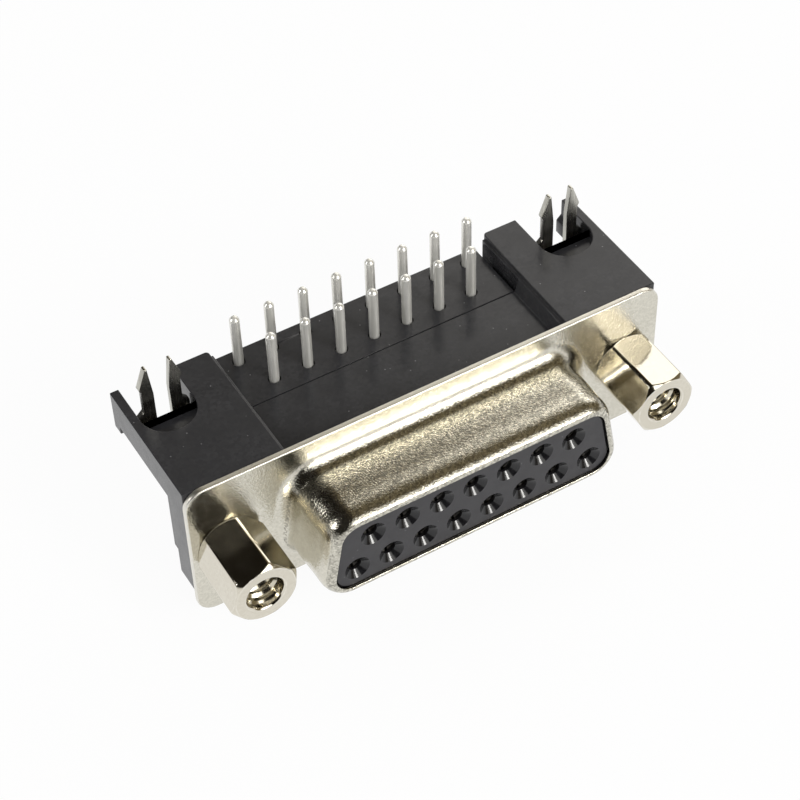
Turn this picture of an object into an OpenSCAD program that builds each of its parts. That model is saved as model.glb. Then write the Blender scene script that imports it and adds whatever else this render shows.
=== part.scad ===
// Right-angle D-shaped socket connector for a printed board, lying with its solder tails up.
// X runs along the flange, +Y points away from the mating face, +Z points to the board side.
// Modules work from the shroud's axis on the front of the flange; on_ground() then sets the
// part over its own footprint, with the flange's lower edge at Z = 0.

/* [Shell] */
// From an end contact's axis to the shroud's end
end_land = 2.635; // [2.4:0.005:3]
// From the shroud's end to a screw post's axis
post_gap = 4.33; // [4:0.01:4.6]
// From a screw post's axis to the flange's end
flange_end = 2.91; // [2.6:0.01:3.6]
// Height of the flange
flange_h = 12.55; // [12.4:0.05:13.2]
// Corner radius of the flange
flange_r = 1.8; // [0.6:0.1:2.4]
// Thickness of the drawn sheet
sheet = 0.5; // [0.35:0.05:0.6]
// Overall height of the shroud
shroud_h = 7.9; // [7.7:0.05:8.3]
// How far the shroud stands out of the flange
shroud_out = 5.95; // [5.6:0.05:6.4]
// Corner radius of the shroud
shroud_r = 2.3; // [2:0.1:2.6]
// Slope of the shroud's two ends, in degrees
shroud_slope = 10; // [6:1:13]
// Radius of the bend from flange to shroud
root_r = 1.1; // [0.6:0.1:1.2]
// Radius of the shroud's front edge
lip_r = 0.85; // [0.7:0.05:1]

/* [Contacts] */
// Distance between neighbours in a row
pitch = 2.77; // [2.7:0.01:2.8]
// Distance between the two rows
row_gap = 2.84; // [2.8:0.01:2.95]
// Bore of a socket
socket_d = 1.04; // [0.9:0.02:1.1]
// Outside of a socket sleeve
sleeve_d = 1.8; // [1.6:0.05:1.9]
// Depth of the bore
socket_deep = 4.3; // [3.6:0.1:4.6]
// Length of the two spring slots
slot_len = 3.2; // [2:0.1:3.4]
// Width of the spring slots
slot_w = 0.22; // [0.15:0.01:0.3]
// Diameter of the trapped collar
collar_d = 2.25; // [2.1:0.05:2.4]
// Thickness of the trapped collar
collar_t = 0.6; // [0.4:0.05:0.9]
// Wire diameter of a solder tail
tail_d = 0.76; // [0.6:0.02:0.85]
// Distance from the flange to the nearer row of tails
tail_y = 8.08; // [7.8:0.02:8.6]
// Length of a tail beyond the board seat
tail_out = 3.07; // [2.4:0.05:3.8]
// Radius of a tail's bend, at the middle of the wire
tail_bend = 1; // [0.6:0.1:1.3]
// Length of the blunt cone on a tail's tip
tail_tip = 0.22; // [0.1:0.02:0.4]
// Diameter of the tip's flat end
tail_tip_d = 0.38; // [0.2:0.02:0.5]

/* [Front insulator] */
// How far its face lies behind the shroud's front edge
face_recess = 0.2; // [0.05:0.05:0.35]
// Gap between its face and the shroud's rim
rim_gap = 0.1; // [0.05:0.01:0.2]
// Diameter of a contact's mouth at the face
mouth_d = 2; // [1.8:0.05:2.2]
// Depth of a mouth's cone
mouth_deep = 0.55; // [0.3:0.05:0.6]
// Diameter of the entry hole behind the cone
entry_d = 1.25; // [1.15:0.05:1.4]
// Depth of a sleeve's end behind the face
sleeve_recess = 0.85; // [0.75:0.05:1]

/* [Housing] */
// How far the board seat lies inside the flange's upper edge
seat_inset = 0.125; // [0:0.005:0.3]
// How far the housing's ends lie inside the flange's
housing_inset = 0.12; // [0:0.01:0.3]
// Depth of the backing behind the flange
backing_d = 2.8; // [2.4:0.1:3.2]
// How far the backing's lower edge lies inside the flange's
backing_inset = 1.075; // [0.5:0.005:1.5]
// How much thinner the backing is at its lower end
backing_step = 0.5; // [0.2:0.05:0.8]
// Where that step lies, below the shroud's axis
step_low = 1.85; // [1.6:0.05:2.2]
// Chamfer on the backing's lower corners
backing_cut = 0.95; // [0.4:0.05:1.4]
// Thickness of a wing
wing_t = 2.75; // [2.5:0.05:2.9]
// How far a wing's rear edge lies ahead of the tail guide's
wing_setback = 0.3; // [0.1:0.05:0.6]
// Radius of a wing's rear inner corner
wing_r = 0.3; // [0.2:0.05:0.6]
// Width of a wing's fork notch
notch_w = 4.2; // [4.1:0.05:4.3]
// From the centre of the notch's round end to the prongs
notch_front = 0.6; // [0.5:0.05:0.8]
// How far the notch's floor lies below the board seat
floor_drop = 0.75; // [0.5:0.05:1.1]
// From the floor's rear edge to the prongs
floor_edge = 0.9; // [0.85:0.05:1.1]
// Room between a side wall and the board lock beside it
lock_room = 1.56; // [1.3:0.02:1.8]
// How far the sunk centre lies below the board seat
centre_drop = 1.43; // [1.2:0.01:1.6]
// From the solid centre block's rear face to the nearer row of tails
block_gap = 1.63; // [1.3:0.01:1.9]
// Foot of the sloped web along each side of the block, measured in from the wing
web_run = 0.6; // [0.4:0.05:1]
// How far the step along a wing's inner edge lies below the board seat
edge_drop = 0.3; // [0.1:0.05:0.6]
// Width of that step
edge_step = 0.24; // [0.1:0.02:0.34]
// Thickness of a side wall
wall = 1.25; // [0.9:0.05:1.5]
// Thickness of the roof
roof_t = 1.5; // [1:0.1:2]
// How far the roof lies inside the flange's lower edge
roof_inset = 0.45; // [0.2:0.05:0.8]
// Height of a finger's inner nub
nub_h = 2; // [1.4:0.1:2.2]
// How far the nub reaches below the wing
nub_low = 0.65; // [0.3:0.05:0.8]
// Length of the nub along the finger
nub_len = 1; // [0.6:0.1:1.4]
// How far the nub stands in from the finger
nub_out = 0.42; // [0.2:0.02:0.5]

/* [Tail guide] */
// Thickness of the guide plate
guide_t = 2.1; // [1.4:0.1:2.4]
// From the farther row of tails to the guide's rear edge
guide_edge = 1.13; // [0.9:0.01:1.4]
// Width of a hole's lead-in under the guide
lead_d = 1.38; // [1.2:0.02:1.6]
// Depth of the lead-in
lead_deep = 0.7; // [0.4:0.05:1]
// Gap between the guide's ends and the side walls
guide_gap = 0.33; // [0.1:0.01:0.4]
// Width of the ledges that carry the guide
ledge_w = 1.1; // [1:0.02:1.2]
// Height of the ledges
ledge_h = 1; // [0.6:0.1:1.4]

/* [Board locks] */
// Thickness of the lock's sheet
lock_t = 0.5; // [0.4:0.05:0.6]
// Width of the leg on the backing
lock_w = 4.4; // [4.3:0.05:4.8]
// Lower end of that leg, below the shroud's axis
lock_low = 2.3; // [2:0.1:3]
// Room on each side of the leg in its notch
lock_side = 0.1; // [0.05:0.01:0.2]
// Depth of that leg's upper face below the board seat
lock_deep = 2; // [1.9:0.05:2.1]
// Inner radius of the lock's bends
lock_bend = 0.3; // [0.2:0.05:0.4]
// Distance from the flange to the prongs' front face
prong_y = 8.8; // [8.6:0.05:9.1]
// Width of one prong
prong_w = 0.9; // [0.8:0.05:1]
// Gap between the two prongs
prong_gap = 1.2; // [1.1:0.05:1.3]
// Length of a prong beyond the board seat
prong_out = 3.85; // [3.4:0.05:4.2]
// How far the prongs' shoulders lie below the board seat
shoulder_low = 0.15; // [0.05:0.05:0.3]
// Distance from the board seat to the widest point of the barb
barb_out = 2.15; // [1.9:0.05:2.4]
// How far a barb stands out
barb_w = 0.18; // [0.1:0.02:0.24]
// Length of the step under a barb
barb_step = 0.35; // [0.15:0.05:0.6]
// Width of a prong's tip
tip_w = 0.2; // [0.15:0.01:0.3]
// How far a prong's inner edge leans out at its tip
tip_in = 0.26; // [0.1:0.02:0.35]
// Where that lean starts, above the board seat
lean_out = 1.35; // [1:0.05:1.8]

/* [Screw posts] */
// Width across flats
post_flats = 4.76; // [4.5:0.02:5]
// How far a post stands out of the flange
post_out = 5.45; // [4.8:0.05:5.8]
// Turn of the left hexagon, in degrees
post_turn_left = 16; // [0:1:60]
// Turn of the right hexagon, in degrees
post_turn_right = -2; // [-30:1:30]
// Radius of the hexagon's flat ends inside their chamfers
post_face_r = 2.33; // [2.2:0.01:2.36]
// Outer diameter of the thread
thread_d = 2.84; // [2.5:0.02:3]
// Depth of the threaded hole
thread_deep = 4.6; // [3.8:0.1:4.8]
// Widening of the threaded hole's mouth
thread_mouth = 0.15; // [0.05:0.05:0.3]
// Thickness of the nut
nut_t = 2; // [1.6:0.1:2.6]
// Length of shank beyond the board lock
shank_over = 0.4; // [0:0.1:1]

/* [Fits] */
// Clearance of pieces that drop into each other
fit = 0.06; // [0.03:0.01:0.08]
// Clearance round a tail in its holes
tail_fit = 0.1; // [0.06:0.01:0.14]
// Clearance round a screw shank in its holes
shank_fit = 0.13; // [0.08:0.01:0.2]
// Clearance between a thread and its nut
thread_fit = 0.02; // [0.01:0.005:0.05]

/* [Hidden] */
$fn = 48;
// Overshoot of a cut past the face that it leaves
past = 1;
wide_count = 8;
narrow_count = 7;
count = wide_count + narrow_count;
sides = [-1, 1];

// Lengths along X build up from the contacts outwards
shroud_w = (wide_count - 1) * pitch + 2 * end_land;
post_x = shroud_w / 2 + post_gap;
flange_w = 2 * (post_x + flange_end);
housing_w = flange_w - 2 * housing_inset;
lock_neck = notch_w - 2 * lock_side;
centre_half = post_x - lock_w / 2 - lock_room - wall;
hex_d = post_flats / cos(30);

seat_z = flange_h / 2 - seat_inset;
backing_low = flange_h / 2 - backing_inset;
centre_z = seat_z - centre_drop;
shank_hole_d = thread_d + 2 * shank_fit;
face_out = shroud_out - face_recess;
sleeve_out = face_out - sleeve_recess;
tail_hole_d = tail_d + 2 * tail_fit;
tip_z = seat_z + tail_out;

front_y = -max(shroud_out, post_out);
backing_y = sheet + backing_d;
far_y = tail_y + row_gap;
block_y = tail_y - block_gap;
notch_y = prong_y - notch_front;
floor_y = prong_y - floor_edge;
rear_y = far_y + guide_edge;
wing_y = rear_y - wing_setback;
roof_z = -flange_h / 2 + roof_inset;
wing_low = seat_z - wing_t;
edge_x = centre_half - edge_step;
edge_z = seat_z - edge_drop;
guide_low = centre_z - guide_t;
guide_half = edge_x - guide_gap;
lock_top = seat_z - lock_deep;
lock_rear = backing_y + lock_t;
nut_front = backing_y - nut_t;

// Corners of the D outline run anticlockwise from the lower right one
d_low_x = shroud_w / 2 - shroud_r;
d_rise = shroud_h - 2 * shroud_r;
d_high_x = d_low_x - d_rise * tan(shroud_slope);
d_corners = [[d_low_x, -d_rise / 2], [d_high_x, d_rise / 2], [-d_high_x, d_rise / 2], [-d_low_x, -d_rise / 2]];
// Direction of the outline's normal where each corner starts, and where the last one ends
d_angles = [-90, shroud_slope, 90, 180 - shroud_slope, 270];

// How far the bend's fillet runs into the flange, so that the two cross
root_bite = 0.02;

metal = [0.78, 0.76, 0.71];
bright_metal = [0.84, 0.82, 0.75];
tinned = [0.74, 0.74, 0.7];
black_plastic = [0.14, 0.14, 0.15];

function contact_name(n) = str("contact_", n < 10 ? "0" : "", n);
// Contacts 1 to 8 form the wide row, away from the board, and 9 to 15 the narrow row
function in_wide_row(n) = n <= wide_count;
function contact_x(n) = in_wide_row(n)
    ? (n - (wide_count + 1) / 2) * pitch
    : (n - wide_count - (narrow_count + 1) / 2) * pitch;
function contact_z(n) = in_wide_row(n) ? -row_gap / 2 : row_gap / 2;
function contact_y(n) = in_wide_row(n) ? far_y : tail_y;
function side_name(side) = side < 0 ? "left" : "right";

contact_names = [for (n = [1:count]) contact_name(n)];
paired_names = [for (piece = ["board_lock_", "jack_post_", "lock_nut_"], side = sides) str(piece, side_name(side))];

module on_ground() translate([0, -(front_y + rear_y) / 2, flange_h / 2]) children();

// Turns a drawing so that its X and Y become the part's X and Z, and its height points forwards
module facing() rotate([90, 0, 0]) children();

module along_y(from, to) translate([0, to, 0]) facing() linear_extrude(to - from) children();

module along_z(from, to) translate([0, 0, from]) linear_extrude(to - from) children();

module span_box(low, high) translate(low) cube(high - low);

module both_ends() {
  children();
  mirror([1, 0, 0]) children();
}

module at_posts() for (side = sides) translate([side * post_x, 0, 0]) children();

module rounded_rectangle(w, h, r) {
  square([w - 2 * r, h], center = true);
  square([w, h - 2 * r], center = true);
  for (x = sides, y = sides) translate([x * (w / 2 - r), y * (h / 2 - r)]) circle(r);
}

// The D outline, grown outwards, or shrunk where grow is negative
module d_area(grow = 0) {
  polygon([for (i = [0:3], a = [d_angles[i], d_angles[i + 1]])
    d_corners[i] + (shroud_r + grow) * [cos(a), sin(a)]]);
  for (corner = d_corners) translate(corner) circle(shroud_r + grow);
}

// Carries a section round the D outline; X of the section is its distance outside the outline
module sweep_d() for (i = [0:3]) {
  next = d_corners[(i + 1) % 4];
  translate(d_corners[i]) rotate(d_angles[i])
    rotate_extrude(angle = d_angles[i + 1] - d_angles[i]) translate([shroud_r, 0]) children();
  translate(next) rotate(d_angles[i + 1]) facing()
    linear_extrude(norm(next - d_corners[i])) translate([shroud_r, 0]) children();
}

// Outside of the drawn sheet beyond the flange: bend, wall and turned-in front edge
module sheet_section() {
  translate([-lip_r - sheet, -sheet / 2]) square([lip_r + sheet, shroud_out - lip_r + sheet / 2]);
  translate([-lip_r - sheet, -sheet / 2]) square([sheet, shroud_out + sheet / 2]);
  translate([-lip_r, shroud_out - lip_r]) intersection() {
    circle(lip_r);
    square(lip_r);
  }
  difference() {
    translate([0, -sheet / 2]) square([root_r, root_r - root_bite + sheet / 2]);
    translate([root_r, root_r - root_bite]) circle(root_r);
  }
}

module front_shell() color(metal) on_ground() facing() difference() {
  union() {
    translate([0, 0, -sheet]) linear_extrude(sheet) rounded_rectangle(flange_w, flange_h, flange_r);
    sweep_d() sheet_section();
  }
  translate([0, 0, -sheet - past]) linear_extrude(shroud_out + past) d_area(-sheet);
  linear_extrude(shroud_out + past) d_area(-lip_r);
  at_posts() translate([0, 0, -sheet - past]) cylinder(h = sheet + 2 * past, d = shank_hole_d);
}

// Stepped hole for one contact, with its cone at the face
module contact_cavity() {
  translate([0, 0, face_out - mouth_deep]) cylinder(h = mouth_deep, d1 = entry_d, d2 = mouth_d);
  cylinder(h = face_out, d = entry_d);
  translate([0, 0, -sheet - past]) cylinder(h = sleeve_out + fit + sheet + past, d = sleeve_d + 2 * fit);
}

module front_insulator() color(black_plastic) on_ground() facing() difference() {
  union() {
    translate([0, 0, -sheet]) linear_extrude(shroud_out - fit) d_area(-sheet - fit);
    linear_extrude(face_out) d_area(-lip_r - rim_gap);
  }
  for (n = [1:count]) translate([contact_x(n), contact_z(n), 0]) contact_cavity();
}

// Half of the backing's outline, seen along Y, with the sunk centre cut out of its upper edge
module backing_half() polygon([
  [0, centre_z],
  [centre_half - web_run, centre_z],
  [edge_x, edge_z],
  [centre_half, edge_z],
  [centre_half, seat_z],
  [housing_w / 2, seat_z],
  [housing_w / 2, -backing_low + backing_cut],
  [housing_w / 2 - backing_cut, -backing_low],
  [0, -backing_low]
]);

// Half of the centre block, seen along Y
module block_half() polygon([
  [0, centre_z],
  [centre_half - web_run, centre_z],
  [edge_x, edge_z],
  [centre_half, edge_z],
  [centre_half, seat_z],
  [centre_half + wall, seat_z],
  [centre_half + wall, roof_z],
  [0, roof_z]
]);

// One wing seen from the board side
module wing_plan() {
  translate([centre_half, sheet]) square([housing_w / 2 - centre_half, wing_y - wing_r - sheet]);
  translate([centre_half + wing_r, sheet]) square([housing_w / 2 - centre_half - wing_r, wing_y - sheet]);
  translate([centre_half + wing_r, wing_y - wing_r]) circle(wing_r);
}

// One wing with its fork notch: shallow over a floor, then through and open to the rear
module wing() difference() {
  along_z(wing_low, seat_z) wing_plan();
  along_z(seat_z - floor_drop, seat_z + past) {
    translate([post_x, notch_y]) circle(d = notch_w);
    translate([post_x - notch_w / 2, notch_y]) square([notch_w, wing_y - notch_y + past]);
  }
  along_z(wing_low - past, seat_z + past)
    translate([post_x - notch_w / 2, floor_y]) square([notch_w, wing_y - floor_y + past]);
}

// One side wall seen along Y, with the step along its wing's inner edge
module side_wall() polygon([
  [edge_x, roof_z],
  [centre_half + wall, roof_z],
  [centre_half + wall, seat_z],
  [centre_half, seat_z],
  [centre_half, edge_z],
  [edge_x, edge_z]
]);

// Nub on the inner face of a wing's outer finger, at its rear end
module finger_nub() {
  root_x = post_x + notch_w / 2;
  low_z = wing_low - nub_low;
  high_z = low_z + nub_h;
  along_y(wing_y - nub_len, wing_y) polygon([
    [housing_w / 2, low_z],
    [root_x, low_z],
    [root_x - nub_out, low_z + nub_out],
    [root_x - nub_out, high_z - nub_out],
    [root_x, high_z],
    [housing_w / 2, high_z]
  ]);
}

// Half of the housing: backing, centre block, wing, side wall with ledge, and roof
module housing_half() {
  along_y(sheet, backing_y - backing_step) backing_half();
  along_y(sheet, backing_y) intersection() {
    backing_half();
    translate([0, -step_low]) square([housing_w, step_low + seat_z]);
  }
  along_y(sheet, block_y) block_half();
  wing();
  along_y(sheet, wing_y - wing_r) side_wall();
  span_box([centre_half - ledge_w, block_y, guide_low - ledge_h], [centre_half, wing_y - wing_r, guide_low]);
  span_box([0, sheet, roof_z], [centre_half + wall, wing_y, roof_z + roof_t]);
  finger_nub();
}

// Hole for a contact's collar and tail, from the housing's front face to the block's rear face
module tail_passage() {
  translate([0, sheet - past, 0]) facing() mirror([0, 0, 1])
    cylinder(h = collar_t + fit + past, d = collar_d + 2 * fit);
  translate([0, sheet, 0]) facing() mirror([0, 0, 1]) cylinder(h = block_y - sheet + past, d = tail_hole_d);
}

module housing() color(black_plastic) on_ground() difference() {
  both_ends() housing_half();
  for (n = [1:count]) translate([contact_x(n), 0, contact_z(n)]) tail_passage();
  at_posts() {
    translate([0, backing_y + past, 0]) facing() {
      cylinder(h = backing_d + 2 * past, d = shank_hole_d);
      rotate(30) cylinder(h = nut_t + fit + past, d = hex_d + 2 * fit / cos(30), $fn = 6);
    }
    span_box([-notch_w / 2, backing_y, wing_low - past], [notch_w / 2, notch_y, lock_top + fit]);
  }
}

// Hole for one tail, widened below so that the tail finds its way in
module guide_hole() {
  translate([0, 0, guide_low - past]) cylinder(h = guide_t + 2 * past, d = tail_hole_d);
  translate([0, 0, guide_low]) cylinder(h = lead_deep, d1 = lead_d, d2 = tail_hole_d);
}

module tail_guide() color(black_plastic) on_ground() difference() {
  span_box([-guide_half, block_y + fit, guide_low], [guide_half, rear_y, centre_z]);
  for (n = [1:count]) translate([contact_x(n), contact_y(n), 0]) guide_hole();
}

// Turned profile of a contact: sleeve, blind bore and collar
module contact_turned() rotate_extrude() polygon([
  [0, sleeve_out - socket_deep],
  [socket_d / 2, sleeve_out - socket_deep],
  [socket_d / 2, sleeve_out],
  [sleeve_d / 2, sleeve_out],
  [sleeve_d / 2, -sheet],
  [collar_d / 2, -sheet],
  [collar_d / 2, -sheet - collar_t],
  [0, -sheet - collar_t]
]);

// Round tail that leaves the collar, turns towards the board and ends in a blunt cone
module contact_tail(row_y, row_z) {
  start_y = sheet + collar_t;
  bend_y = row_y - tail_bend;
  bend_z = row_z + tail_bend;
  along_y(start_y, bend_y) translate([0, row_z]) circle(d = tail_d);
  translate([0, bend_y, bend_z]) rotate([90, 0, 90]) rotate(-90)
    rotate_extrude(angle = 90) translate([tail_bend, 0]) circle(d = tail_d);
  along_z(bend_z, tip_z - tail_tip) translate([0, row_y]) circle(d = tail_d);
  translate([0, row_y, tip_z - tail_tip]) cylinder(h = tail_tip, d1 = tail_d, d2 = tail_tip_d);
}

module contact(n) color(tinned) on_ground() translate([contact_x(n), 0, 0]) {
  difference() {
    translate([0, 0, contact_z(n)]) facing() contact_turned();
    translate([-slot_w / 2, -sleeve_out - past, contact_z(n) - sleeve_d])
      cube([slot_w, slot_len + past, 2 * sleeve_d]);
  }
  contact_tail(contact_y(n), contact_z(n));
}

// Quarter bend of the lock's sheet about X, from one direction in the YZ plane
module lock_quarter(start) rotate([90, 0, 90]) rotate(start) rotate_extrude(angle = 90)
  translate([lock_bend, -lock_neck / 2]) square([lock_t, lock_neck]);

// One prong seen along Y, on the outer side of the fork's middle
module prong_half() {
  inner = prong_gap / 2;
  outer = inner + prong_w;
  shoulder_z = seat_z - shoulder_low;
  polygon([
    [inner, lock_top],
    [lock_neck / 2, lock_top],
    [lock_neck / 2, shoulder_z - lock_neck / 2 + outer],
    [outer, shoulder_z],
    [outer, seat_z + barb_out - barb_step],
    [outer + barb_w, seat_z + barb_out],
    [inner + tip_in + tip_w, seat_z + prong_out],
    [inner + tip_in, seat_z + prong_out],
    [inner, seat_z + lean_out]
  ]);
}

// Board lock about its post's axis: leg on the backing, leg under the wing, fork
module lock_sheet() {
  bend_r = lock_bend + lock_t;
  neck_low = wing_low - 2 * fit;
  along_y(backing_y, lock_rear) difference() {
    union() {
      translate([-lock_w / 2, -lock_low]) square([lock_w, neck_low + lock_low]);
      translate([-lock_neck / 2, 0]) square([lock_neck, lock_top - bend_r]);
    }
    circle(d = shank_hole_d);
  }
  translate([0, backing_y + bend_r, lock_top - bend_r]) lock_quarter(90);
  span_box([-lock_neck / 2, backing_y + bend_r, lock_top - lock_t], [lock_neck / 2, prong_y - lock_bend, lock_top]);
  difference() {
    union() {
      translate([0, prong_y - lock_bend, lock_top + lock_bend]) lock_quarter(-90);
      along_y(prong_y, prong_y + lock_t) both_ends() prong_half();
    }
    span_box([-prong_gap / 2, prong_y - bend_r, lock_top], [prong_gap / 2, prong_y + bend_r, seat_z]);
  }
}

module board_lock(side) color(metal) on_ground() translate([side * post_x, 0, 0]) lock_sheet();

// Threaded hole at its outer diameter, with a drilled end and a widened mouth
module thread_hole() {
  translate([0, 0, post_out - thread_deep]) cylinder(h = thread_deep + past, d = thread_d);
  translate([0, 0, post_out - thread_mouth])
    cylinder(h = thread_mouth, d1 = thread_d, d2 = thread_d + 2 * thread_mouth);
}

// Limits the hexagon's corners at both ends, at 45 degrees
module post_chamfer() {
  outer_r = hex_d / 2 + fit;
  drop = outer_r - post_face_r;
  rotate_extrude() polygon([
    [0, 0],
    [post_face_r, 0],
    [outer_r, drop],
    [outer_r, post_out - drop],
    [post_face_r, post_out],
    [0, post_out]
  ]);
}

module jack_post(side) color(bright_metal) on_ground() translate([side * post_x, 0, 0]) facing() {
  difference() {
    intersection() {
      rotate(side < 0 ? post_turn_left : post_turn_right) cylinder(h = post_out, d = hex_d, $fn = 6);
      post_chamfer();
    }
    thread_hole();
  }
  translate([0, 0, -lock_rear - shank_over]) cylinder(h = lock_rear + shank_over, d = thread_d);
}

module lock_nut(side) color(bright_metal) on_ground() translate([side * post_x, 0, 0])
  along_y(nut_front, backing_y) difference() {
    rotate(30) circle(d = hex_d, $fn = 6);
    circle(d = thread_d + 2 * thread_fit);
  }

front_shell();
front_insulator();
housing();
tail_guide();
for (n = [1:count]) contact(n);
for (side = sides) {
  board_lock(side);
  jack_post(side);
  lock_nut(side);
}
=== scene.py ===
"""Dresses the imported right-angle D-shaped socket connector and sets up its picture.

The front shell is modelled anew as one sheet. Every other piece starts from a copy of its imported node.
Meshes are in metres in the part's own frame. Sizes below are in millimetres and are turned into metres
where a mesh is made, apart from the two distances within which points merge, which are in metres.
"""

import logging
import math
from collections.abc import Callable, Iterable
from dataclasses import dataclass
from enum import Enum

import bmesh
import bpy
from mathutils import Matrix, Vector


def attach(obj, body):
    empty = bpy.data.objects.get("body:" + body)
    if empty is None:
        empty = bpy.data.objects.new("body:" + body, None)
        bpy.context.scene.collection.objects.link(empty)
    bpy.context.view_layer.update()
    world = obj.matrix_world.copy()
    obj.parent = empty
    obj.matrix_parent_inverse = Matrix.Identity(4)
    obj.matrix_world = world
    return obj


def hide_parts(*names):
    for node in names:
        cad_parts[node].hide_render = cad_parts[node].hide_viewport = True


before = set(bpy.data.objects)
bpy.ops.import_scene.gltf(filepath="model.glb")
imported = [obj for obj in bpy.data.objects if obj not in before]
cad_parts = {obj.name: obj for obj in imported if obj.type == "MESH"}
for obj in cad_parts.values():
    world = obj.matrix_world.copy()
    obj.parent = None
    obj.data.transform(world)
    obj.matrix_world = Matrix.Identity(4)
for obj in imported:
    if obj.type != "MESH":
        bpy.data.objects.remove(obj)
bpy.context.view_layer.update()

log = logging.getLogger("connector")

MM = 0.001
FRONT = Vector((0, -1, 0))
FLANGE_Y = -3.05
AXIS_Z = 6.275
POST_X = 16.66
SAME_PLACE = 1e-7
MERGE_WITHIN = 2e-6
FLAT_WITHIN = math.radians(0.4)
SMOOTH_UP_TO = math.radians(35)
AREA_WEIGHT = 60
WARM_WHITE = (1.0, 0.985, 0.955)
NOISE_SPAN = (0.3, 0.7)
EDGE_MARK = "rounded_edge"
# Marks worked faces, and also the contact ends and mouth cones whose darker tone is painted shade.
WORK_AND_SHADE_MARK = "worked_and_shade_face"
DRAWN_MARK = "drawn_face"
# Noise that breaks up the painted highlight laid on rounded edges.
EDGE_HIGHLIGHT_NOISE = {"Scale": 2500.0, "Amount": 0.8}
# Noise that breaks up the worked faces' tone, which on contact ends and mouth cones is painted shade.
WORKED_AND_SHADE_NOISE = {"Scale": 3000.0, "Amount": 1.0}
DRAWN_WEAR = {"Scale": 800.0, "Amount": 1.0}
DUST = {"Scale": 2600.0, "Size": 0.13}

Triple = tuple[float, float, float]
Geometry = list[bmesh.types.BMVert | bmesh.types.BMEdge]


class Side(Enum):
    """The two ends of the connector."""

    LEFT = -1
    RIGHT = 1

    @property
    def word(self) -> str:
        """The end's name as node names have it."""
        return self.name.lower()


class Slot(Enum):
    """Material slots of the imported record."""

    SHELL = "shell"
    INSULATOR = "insulator"
    HOUSING = "housing"
    GUIDE = "guide"
    CONTACT = "contact"
    LOCK = "lock"
    POST = "post"
    NUT = "nut"


class Grain(Enum):
    """How a finish's grain is scaled along X, Y and Z."""

    NONE = (1.0, 1.0, 1.0)
    ALONG_Z = (1.0, 1.0, 0.05)


# ----- Shader node groups


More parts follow.
